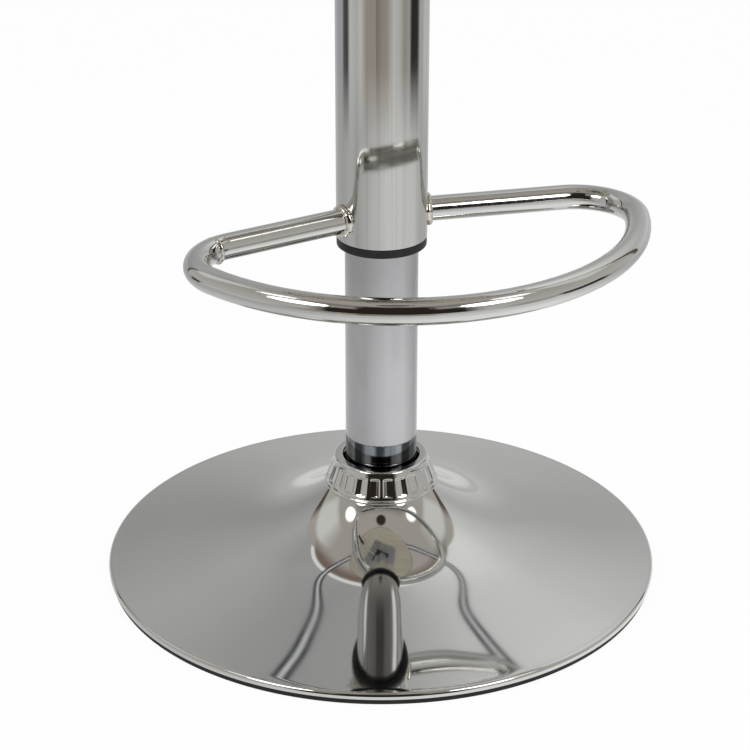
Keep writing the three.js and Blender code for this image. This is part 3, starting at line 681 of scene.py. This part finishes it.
def collar_ring():
    """The fluted trim: a rolled top, slanting side with sunk panels, a groove and a bottom bead."""
    bead_top = collar_bottom + 2.7 * MM
    bead_inner, bead_outer, groove_r = 39 * MM, 41.2 * MM, 38.9 * MM
    foot = bead_top + 1 * MM
    shoulder = collar_top - 2.6 * MM
    hole_r, rim_inner = column_r + 2 * MM, 31 * MM
    foot_r, top_r, wall = 39.2 * MM, 33.3 * MM, 1.3 * MM
    slant_rows = 26
    side = [
        (foot_r + (top_r - foot_r) * i / slant_rows, foot + (shoulder - foot) * i / slant_rows)
        for i in range(slant_rows + 1)
    ]
    roll = quarter((top_r, shoulder), (top_r - 0.4 * MM, collar_top), (rim_inner, collar_top), 8)
    bead_middle = (bead_outer, (collar_bottom + bead_top) / 2)
    bottom_bead = quarter((bead_inner, collar_bottom), bead_middle, (bead_inner, bead_top), 8)
    hole = quarter((hole_r + 0.8 * MM, collar_top), (hole_r, collar_top), (hole_r, collar_top - 0.8 * MM), 4)
    profile = [
        (38.7 * MM, collar_bottom),
        *bottom_bead,
        (groove_r, bead_top + 0.3 * MM),
        (groove_r, foot - 0.3 * MM),
        *side,
        *roll[1:],
        *hole,
        (hole_r, collar_top - wall),
        (rim_inner, collar_top - wall),
        (top_r - wall, shoulder - wall),
        (foot_r - wall, foot),
    ]
    piece = spun("collar_ring", profile, COLLAR_FLUTES * COLLAR_COLUMNS, 50)
    sink_flutes(piece, foot, shoulder, (foot_r, top_r))
    return piece


def quarter(start, corner, end, steps):
    """Points on a soft bend from start to end, drawn towards a corner."""
    points = []
    for i in range(steps + 1):
        t = i / steps
        x = start[0] * (1 - t) ** 2 + corner[0] * 2 * t * (1 - t) + end[0] * t**2
        z = start[1] * (1 - t) ** 2 + corner[1] * 2 * t * (1 - t) + end[1] * t**2
        points.append((x, z))
    return points


def smooth_step(low, high, value):
    """From 0 to 1 between two values, level at both ends."""
    t = min(max((value - low) / (high - low), 0), 1)
    return t * t * (3 - 2 * t)


def sink_flutes(piece, foot, shoulder, radii):
    """Presses the collar's panels in, each with soft walls."""
    depth, half_width, edge = 1.0 * MM, 0.36, 0.08
    for vertex in piece.data.vertices:
        x, y, z = vertex.co
        share = (z - foot) / (shoulder - foot)
        if not 0.05 < share < 0.95:
            continue
        r = math.hypot(x, y)
        if r < radii[0] + (radii[1] - radii[0]) * share - 0.3 * MM:
            continue
        turn = math.atan2(y, x) / FULL_TURN * COLLAR_FLUTES
        off = abs(turn - round(turn))
        scoop = 0.75 + 0.25 * math.cos(math.pi * min(off / half_width, 1))
        across = scoop * (1 - smooth_step(half_width - edge / 2, half_width + edge / 2, off))
        along = smooth_step(0.08, 0.16, share) * (1 - smooth_step(0.8, 0.88, share))
        keep = 1 - depth * across * along / r
        vertex.co.x, vertex.co.y = x * keep, y * keep


# Column


def lower_column():
    wall = 1.5 * MM
    profile = eased(ring(column_r - wall, column_r, column_bottom, column_top), 0.5 * MM)
    return spun("lower_column", profile, 128)


def outer_column():
    wall = 1.5 * MM
    profile = eased(ring(cover_r - wall, cover_r, cover_bottom, cover_top), 0.4 * MM)
    return spun("outer_column", profile, 144)


def column_bush():
    """The black bush in the outer column's foot, with its flange below the edge."""
    low, high = heights("sleeve_bush")
    outer = outer_radius("sleeve_bush")
    flange_top = cover_bottom - 0.3 * MM
    bore = column_r + 0.3 * MM
    sleeve = cover_r - 1.8 * MM
    flange = [(bore, low), (outer, low), (outer, flange_top)]
    profile = [*flange, (sleeve, flange_top), (sleeve, high), (bore, high)]
    return spun("column_bush", eased(profile, 0.6 * MM), 128)


# Footrest

foot_z = 265 * MM
foot_tube_r = 8.5 * MM
foot_front_r = 162 * MM
foot_centre = Vector((5 * MM, -11.4 * MM))
foot_corner_r = 38.5 * MM
arm_sweep = math.radians(9.3)
stub_bend = 12 * MM
joint_gap = 0.3 * MM
tube_sides = 36


def footrest_side(sign):
    """One arm's direction, the point where its corner bend starts, and that bend's centre."""
    direction = Vector((sign * math.cos(arm_sweep), -math.sin(arm_sweep)))
    forward = Vector((-sign * math.sin(arm_sweep), -math.cos(arm_sweep)))
    offset = forward * foot_corner_r - foot_centre
    along = direction.dot(offset)
    reach = math.sqrt(along**2 - offset.length_squared + (foot_front_r - foot_corner_r) ** 2) - along
    tangent = direction * reach
    return direction, tangent, tangent + forward * foot_corner_r


def bearing(point, centre):
    """The angle of a point seen from a centre."""
    return math.atan2(point.y - centre.y, point.x - centre.x)


def tube_start(bm, at, direction):
    """A round section standing across a level direction. Returns its vertices and edges."""
    made = bmesh.ops.create_circle(bm, cap_ends=False, radius=foot_tube_r, segments=tube_sides)
    turn = Vector((direction.x, direction.y, 0)).to_track_quat("Z", "X").to_matrix().to_4x4()
    bmesh.ops.transform(bm, matrix=Matrix.Translation((at.x, at.y, foot_z)) @ turn, verts=made["verts"])
    return made["verts"], list({edge for vertex in made["verts"] for edge in vertex.link_edges})


def tube_straight(bm, edges, move):
    """Draws the open end out straight. Returns the new end's vertices and edges."""
    made = bmesh.ops.extrude_edge_only(bm, edges=edges)["geom"]
    verts = [part for part in made if isinstance(part, bmesh.types.BMVert)]
    bmesh.ops.translate(bm, verts=verts, vec=(move.x, move.y, 0))
    return verts, [part for part in made if isinstance(part, bmesh.types.BMEdge)]


def tube_bend(bm, verts, edges, centre, angle):
    """Turns the open end round a centre. Returns the new end's vertices and edges."""
    steps = max(4, round(abs(angle) / math.radians(4)))
    made = bmesh.ops.spin(
        bm,
        geom=verts + edges,
        cent=(centre.x, centre.y, foot_z),
        axis=(0, 0, 1),
        dvec=(0, 0, 0),
        angle=angle,
        steps=steps,
        use_merge=False,
        use_duplicate=False,
    )["geom_last"]
    verts = [part for part in made if isinstance(part, bmesh.types.BMVert)]
    return verts, [part for part in made if isinstance(part, bmesh.types.BMEdge)]


def close_tube(bm):
    bmesh.ops.remove_doubles(bm, verts=bm.verts, dist=1e-7)
    open_edges = [edge for edge in bm.edges if len(edge.link_faces) == 1]
    bmesh.ops.holes_fill(bm, edges=open_edges, sides=0)
    bmesh.ops.recalc_face_normals(bm, faces=bm.faces)


def footrest_tube(name, sign):
    """The long hoop from the right arm, or the short stub on the left."""
    direction, tangent, centre = footrest_side(sign)
    start = direction * (cover_r + joint_gap)
    bm = bmesh.new()
    verts, edges = tube_start(bm, start, direction)
    verts, edges = tube_straight(bm, edges, tangent - start)
    if sign < 0:
        tube_bend(bm, verts, edges, centre, stub_bend / foot_corner_r)
    else:
        _, left_tangent, left_centre = footrest_side(-1)
        right_end = bearing(centre, foot_centre)
        left_end = bearing(left_centre, foot_centre)
        corner = bearing(tangent, centre) - right_end
        verts, edges = tube_bend(bm, verts, edges, centre, -corner)
        verts, edges = tube_bend(bm, verts, edges, foot_centre, left_end - right_end)
        rest = FULL_TURN + left_end - bearing(left_tangent, left_centre)
        rest -= (stub_bend + joint_gap) / foot_corner_r
        tube_bend(bm, verts, edges, left_centre, -rest)
    close_tube(bm)
    return finished(name, bm, 50)


def bead(r, ring_r, waves, place):
    """A weld bead all round a tube, with the ripples of its passes."""
    bm = bmesh.new()
    made = bmesh.ops.create_circle(bm, cap_ends=False, radius=r, segments=14)
    edges = list({edge for vertex in made["verts"] for edge in vertex.link_edges})
    stand = Matrix.Translation((ring_r, 0, 0)) @ Matrix.Rotation(math.pi / 2, 4, "X")
    bmesh.ops.transform(bm, matrix=stand, verts=made["verts"])
    spin_full(bm, made["verts"] + edges, 120)
    for vertex in bm.verts:
        turn = math.atan2(vertex.co.y, vertex.co.x)
        core = Vector((ring_r * math.cos(turn), ring_r * math.sin(turn), 0))
        swell = 1 + 0.07 * math.sin(waves * turn) + 0.1 * math.sin(2 * turn + 1) + 0.06 * math.sin(5 * turn)
        vertex.co = core + (vertex.co - core) * swell
    bmesh.ops.transform(bm, matrix=place, verts=bm.verts)
    return bm


def column_weld(name, sign):
    """The bead where an arm stands on the outer column."""
    direction, _, _ = footrest_side(sign)
    bm = bead(2.3 * MM, foot_tube_r + 0.4 * MM, 11, Matrix.Identity(4))
    along = Vector((direction.x, direction.y, 0))
    side = Vector((-direction.y, direction.x, 0))
    contact = cover_r + 1.3 * MM
    for vertex in bm.verts:
        across, up, out = vertex.co
        reach = math.sqrt(contact**2 - across**2) + out
        vertex.co = along * reach + side * across + Vector((0, 0, foot_z + up))
    bmesh.ops.recalc_face_normals(bm, faces=bm.faces)
    return finished(name, bm, 60)


def corner_weld(name):
    """The bead over the butt joint in the left corner."""
    _, tangent, centre = footrest_side(-1)
    angle = bearing(tangent, centre) + stub_bend / foot_corner_r
    at = centre + foot_corner_r * Vector((math.cos(angle), math.sin(angle)))
    along = Vector((-math.sin(angle), math.cos(angle), 0))
    place = Matrix.Translation((at.x, at.y, foot_z)) @ along.to_track_quat("Z", "X").to_matrix().to_4x4()
    bead_r = foot_tube_r - 0.2 * MM
    bm = bead(1.6 * MM, bead_r, 9, place)
    middle = Vector((at.x, at.y, foot_z))
    inner = (Vector((centre.x, centre.y, foot_z)) - middle).normalized()
    for vertex in bm.verts:
        off = vertex.co - middle
        run = off.dot(along)
        out = off - along * run
        heavy = 0.2 + 0.8 * smooth_step(-0.1, 0.7, out.normalized().dot(inner))
        height = bead_r + (out.length - bead_r) * heavy
        vertex.co = middle + out.normalized() * height + along * run * (0.5 + 0.5 * heavy)
    bmesh.ops.recalc_face_normals(bm, faces=bm.faces)
    return finished(name, bm, 60)


# Seat


def seat_ring():
    """The chrome band: three round ribs with two flat grooves between them."""
    low, high = heights("seat_band")
    inner = 174 * MM
    outer = inner + 2.2 * MM
    bands = 5
    step = (high - low) / bands
    rib = 1.3 * MM
    side = []
    for i in range(bands):
        z = low + i * step
        if i % 2:
            side += [(outer, z + 0.2 * step), (outer, z + 0.8 * step)]
        else:
            side += [
                (outer + rib * math.sin(math.pi * k / 8), z + step * (0.5 - 0.5 * math.cos(math.pi * k / 8)))
                for k in range(9)
            ]
    return spun("seat_ring", [(inner, low), *side, (inner, high)], 224, 35)


# The pad's outline above the band, as shares of its radius and height
PAD_CROWN = (
    (0.972, 0.345), (0.985, 0.36), (0.997, 0.4), (1.0, 0.46), (0.997, 0.54), (0.988, 0.62), (0.968, 0.71),
    (0.935, 0.785), (0.89, 0.845), (0.82, 0.888), (0.72, 0.925), (0.58, 0.957), (0.42, 0.98), (0.25, 0.993),
    (0.1, 0.999),
)
CLOTH_FRAMES = 20


def seat_pad():
    """The padded seat: crowned on top, rolled at the edge and drawn in at the band."""
    low, high = heights("seat_cushion")
    full = outer_radius("seat_cushion") - 2 * MM
    tuck = 173 * MM
    band_top = heights("seat_band")[1]
    tall = high - low - 3 * MM
    crown = [(r * full, low + z * tall) for r, z in PAD_CROWN if low + z * tall > band_top]
    profile = [(0, low), (tuck, low), (tuck, band_top), *crown, (0, low + tall)]
    piece = spun("seat_pad", profile, 96, 60)
    stuff(piece, band_top + 2 * MM)
    soften = piece.modifiers.new("soft_skin", "SUBSURF")
    soften.levels = soften.render_levels = 1
    return piece


def stuff(piece, hold_below):
    """Fills the cover like a lightly blown bag, held where the band grips it."""
    scene = bpy.context.scene
    even = piece.modifiers.new("even_skin", "REMESH")
    even.mode = "VOXEL"
    even.voxel_size = 5 * MM
    bake_modifiers(piece)
    held = piece.vertex_groups.new(name="held")
    held.add([vertex.index for vertex in piece.data.vertices if vertex.co.z < hold_below], 1, "REPLACE")
    cloth = piece.modifiers.new("cover", "CLOTH")
    cloth.settings.quality = 6
    cloth.settings.mass = 0.4
    cloth.settings.tension_stiffness = cloth.settings.compression_stiffness = 20
    cloth.settings.bending_stiffness = 0.4
    cloth.settings.use_pressure = True
    cloth.settings.uniform_pressure_force = 0.8
    cloth.settings.vertex_group_mass = held.name
    cloth.settings.effector_weights.gravity = 0
    cloth.point_cache.frame_start, cloth.point_cache.frame_end = 1, CLOTH_FRAMES
    for moment in range(1, CLOTH_FRAMES + 1):
        scene.frame_set(moment)
    bake_modifiers(piece)
    scene.frame_set(1)
    piece.vertex_groups.clear()
    piece.data.shade_smooth()


def bake_modifiers(piece):
    """Takes what the modifiers make as the piece's own mesh."""
    made = piece.evaluated_get(bpy.context.evaluated_depsgraph_get())
    mesh = bpy.data.meshes.new_from_object(made)
    piece.modifiers.clear()
    piece.data = mesh
    mesh.name = piece.name


def rod(name, path, r, closed=False):
    """A round rod or cord along a path."""
    curve = bpy.data.curves.new(name, "CURVE")
    curve.dimensions = "3D"
    curve.bevel_depth = r
    curve.bevel_resolution = 6
    curve.use_fill_caps = True
    line = curve.splines.new("POLY")
    line.points.add(len(path) - 1)
    for point, place in zip(line.points, path):
        point.co = (*place, 1)
    line.use_cyclic_u = closed
    holder = bpy.data.objects.new(name, curve)
    bpy.context.scene.collection.objects.link(holder)
    mesh = bpy.data.meshes.new_from_object(holder)
    bpy.data.objects.remove(holder)
    bm = bmesh.new()
    bm.from_mesh(mesh)
    bmesh.ops.remove_doubles(bm, verts=bm.verts, dist=1e-7)
    bmesh.ops.recalc_face_normals(bm, faces=bm.faces)
    return finished(name, bm, 50)


def seat_welt():
    """The piping that closes the cover above the band."""
    band_top = heights("seat_band")[1]
    r, centre = 2.2 * MM, 175.6 * MM
    points = [
        (centre + r * math.cos(turn), band_top + 2.4 * MM + r * math.sin(turn))
        for turn in [FULL_TURN * i / 12 for i in range(12)]
    ]
    return spun("seat_welt", points, 224, 80)


WELT_STEPS = 144


def crown_welt(pad):
    """A second piping round the crown, laid on the cover where it is."""
    r, ring_r = 1.9 * MM, 148 * MM
    path = []
    for i in range(WELT_STEPS):
        turn = FULL_TURN * i / WELT_STEPS
        across, along = ring_r * math.cos(turn), ring_r * math.sin(turn)
        _, place, _, _ = pad.ray_cast((across, along, 1), (0, 0, -1))
        path.append((across, along, place.z + 0.2 * r))
    return rod("crown_welt", path, r, closed=True)


# Release lever

pivot_x, pivot_z = -26 * MM, 659 * MM
GRIP_RINGS = 8


def lever_path():
    """From the tail over the valve, past the pivot and down the handle, with the handle's direction."""
    bend_x, bend_run, end_x = -54 * MM, 12 * MM, -186 * MM
    slope = math.radians(12)
    bend = Vector((bend_x, 0, pivot_z))
    out = Vector((-math.cos(slope), 0, -math.sin(slope)))
    start, finish = Vector((bend_x + bend_run, 0, pivot_z)), bend + out * bend_run
    steps = [i / 8 for i in range(9)]
    curve = [start * (1 - t) ** 2 + bend * (2 * t * (1 - t)) + finish * t**2 for t in steps]
    end = bend + out * ((bend_x - end_x) / math.cos(slope))
    return [Vector((6 * MM, 0, pivot_z)), *curve, end], out


def lever_rod():
    path, _ = lever_path()
    return rod("lever_rod", path, 4 * MM)


def lever_boss():
    """The eye on the pivot pin."""
    profile = eased(ring(2.8 * MM, 6.2 * MM, -6 * MM, 6 * MM), 0.5 * MM)
    piece = spun("lever_boss", profile, 64)
    stand = Matrix.Translation((pivot_x, 0, pivot_z)) @ Matrix.Rotation(math.pi / 2, 4, "X")
    piece.data.transform(stand)
    return piece


def lever_handle():
    """The moulded grip, with finger rings near its end."""
    path, out = lever_path()
    bore, r, length, cap = 4.3 * MM, 6.9 * MM, 62 * MM, 2 * MM
    side = [(r, -length + 2 * MM)]
    for i in range(GRIP_RINGS):
        start = -length + (12 + 5 * i) * MM
        sunk = r - 0.8 * MM
        side += [(r, start), (sunk, start + 1 * MM), (sunk, start + 2 * MM), (r, start + 3 * MM)]
    profile = [(bore, -length), (r - 1.6 * MM, -length), *side, (r, 0), (r - 1.8 * MM, cap)]
    profile += [(0, cap), (0, 0.4 * MM), (bore, 0.4 * MM)]
    points = eased(profile, 0.9 * MM)
    bm = bmesh.new()
    verts = [bm.verts.new((x, 0, z)) for x, z in points]
    edges = [bm.edges.new((verts[i - 1], verts[i])) for i in range(len(verts))]
    spin_full(bm, verts + edges, 64)
    turn = out.to_track_quat("Z", "Y").to_matrix().to_4x4()
    bmesh.ops.transform(bm, matrix=Matrix.Translation(path[-1]) @ turn, verts=bm.verts)
    return finished("lever_handle", bm, 40)


# Lamps, sky and floor

SKY_LEVEL = 0.78
# Level of the painted lamp highlights.
PAINTED_LAMP_LEVEL = 1.9
NEARLY_NONE = 0.001
LOW_WALL = (0.62, 0.6, 0.57, 1)
CEILING = (0.5, 0.47, 0.43, 1)
DIM_CEILING = (0.24, 0.19, 0.16, 1)
FRONT_CEILING = (0.27, 0.25, 0.23, 1)
SIDE_WALL = (0.82, 0.82, 0.8, 1)
BROWN = (0.13, 0.1, 0.075, 1)
FAR_END = (0.03, 0.024, 0.02, 1)
# A painted dark patch over the front, seen only in reflections.
DARK_FRONT_PATCH = (0.05, 0.035, 0.028, 1)
# Edge of the painted hoop, seen only in reflections.
PAINTED_HOOP_EDGE = (0.05, 0.06, 0.07, 1)

SOFTBOX_ELEVATION = 43
SOFTBOX_DISTANCE = 1.6
SOFTBOX_SIZE = (0.62, 0.5)
SOFTBOX_WATTS = 3.6
SOFTBOX_AIM = Vector((0, 0, 0.1))

FLOOR_GREY = 0.9
FLOOR_GLOW = 0.95
PAPER_BLEND = (0.95, 1.25)


def round_the_stool(*stops):
    """Levels by angle from the camera's side, left below zero, as ramp stops."""
    return [(0.5 + angle / 360, colour) for angle, colour in stops]


LAVENDER = (0.5, 0.5, 0.53, 1)
TAN = (0.42, 0.37, 0.32, 1)
DARK_GAP = (0.04, 0.036, 0.034, 1)
# Painted light and shade on the near paper: brighter on the right towards the camera.
PAINTED_PAPER_LIGHT = round_the_stool(
    (-180, grey(0.62)), (-135, grey(0.56)), (-90, grey(0.56)), (-50, grey(0.56)), (-15, grey(0.7)),
    (20, grey(0.84)), (70, grey(0.86)), (125, grey(0.54)), (180, grey(0.62)),
)
PAPER_FAR = round_the_stool(
    (-180, grey(0.6)), (-135, LAVENDER), (-112, LAVENDER), (-106, grey(0.1)), (-92, (0.08, 0.075, 0.07, 1)),
    (-86, grey(0.66)), (-55, grey(0.68)), (-36, TAN), (-16, TAN), (-13, (0.2, 0.18, 0.16, 1)),
    (-10, (0.34, 0.3, 0.27, 1)), (12, TAN), (24, grey(0.66)), (40, grey(0.66)), (55, (0.42, 0.39, 0.35, 1)),
    (70, grey(0.5)), (74, DARK_GAP), (96, DARK_GAP), (101, grey(0.5)), (124, grey(0.66)), (180, grey(0.6)),
)

light_sky()
lay_floor()
hang_softbox("softbox_left", -44)
hang_softbox("softbox_right", 44)

# Dressing

finishes = {
    "base_chrome": base_chrome(),
    "bright_chrome": bright_chrome(),
    "drawn_chrome": drawn_chrome(),
    "satin_column": satin_column(),
    "weld_chrome": weld_chrome(),
    "rubber": rubber(),
    "black_plastic": moulded("black_plastic", (0.014, 0.014, 0.015, 1), (0.045, 0.045, 0.045, 1)),
    "natural_plastic": moulded("natural_plastic", (0.62, 0.58, 0.47, 1), (0.5, 0.46, 0.36, 1)),
    "plain_steel": plain_steel(),
    "black_coat": black_coat(),
    "plywood": plywood(),
    "seat_vinyl": seat_vinyl(),
}


def dress(piece, finish, body, slot, *nodes):
    """Gives a new piece its finish, its body, and the nodes that it stands for."""
    piece.data.materials.clear()
    piece.data.materials.append(finishes[finish])
    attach(piece, body)
    if nodes:
        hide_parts(*nodes)


dress(spun_base(), "base_chrome", "base", "chrome_plate", "base_shell")
dress(edge_ring(), "rubber", "base", "black_rubber", "floor_ring")
dress(collar_ring(), "bright_chrome", "base", "chrome_plate", "trim_collar")
dress(lower_column(), "satin_column", "base", "satin_chrome", "column_tube")
dress(outer_column(), "drawn_chrome", "lift", "satin_chrome", "cover_tube")
dress(column_bush(), "black_plastic", "lift", "black_plastic", "sleeve_bush")
dress(footrest_tube("foot_hoop", 1), "bright_chrome", "lift", "chrome_plate", "footrest_hoop")
dress(footrest_tube("foot_stub", -1), "bright_chrome", "lift", "chrome_plate", "footrest_stub")
dress(column_weld("weld_right", 1), "weld_chrome", "lift", "chrome_plate")
dress(column_weld("weld_left", -1), "weld_chrome", "lift", "chrome_plate")
dress(corner_weld("weld_corner"), "weld_chrome", "lift", "chrome_plate")
dress(seat_ring(), "bright_chrome", "lift", "chrome_plate", "seat_band")
pad = seat_pad()
dress(pad, "seat_vinyl", "lift", "seat_vinyl", "seat_cushion")
dress(seat_welt(), "seat_vinyl", "lift", "seat_vinyl")
dress(crown_welt(pad), "seat_vinyl", "lift", "seat_vinyl")
dress(lever_rod(), "bright_chrome", "lever", "chrome_plate", "release_lever")
dress(lever_boss(), "bright_chrome", "lever", "chrome_plate")
dress(lever_handle(), "black_plastic", "lever", "black_plastic", "lever_grip")

# CAD nodes that stay as they are and only get a finish
carried_over = {
    "plain_steel": [
        "ballast_plate", "socket_tube", "lower_race", "ball_cage", "upper_race", "piston_rod",
        "retaining_clip", "pivot_pin", "valve_pin", "seat_plate",
        *(f"seat_screw_{i}" for i in range(1, 5)),
    ],
    "rubber": ["rod_buffer"],
    "black_plastic": ["piston", "rod_gland"],
    "natural_plastic": ["guide_bush"],
    "black_coat": ["gas_cylinder", "mechanism_housing"],
    "plywood": ["seat_board"],
}
for finish, nodes in carried_over.items():
    for node in nodes:
        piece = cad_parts[node]
        piece.data.materials.clear()
        piece.data.materials.append(finishes[finish])

bpy.context.scene.view_settings.view_transform = "Standard"
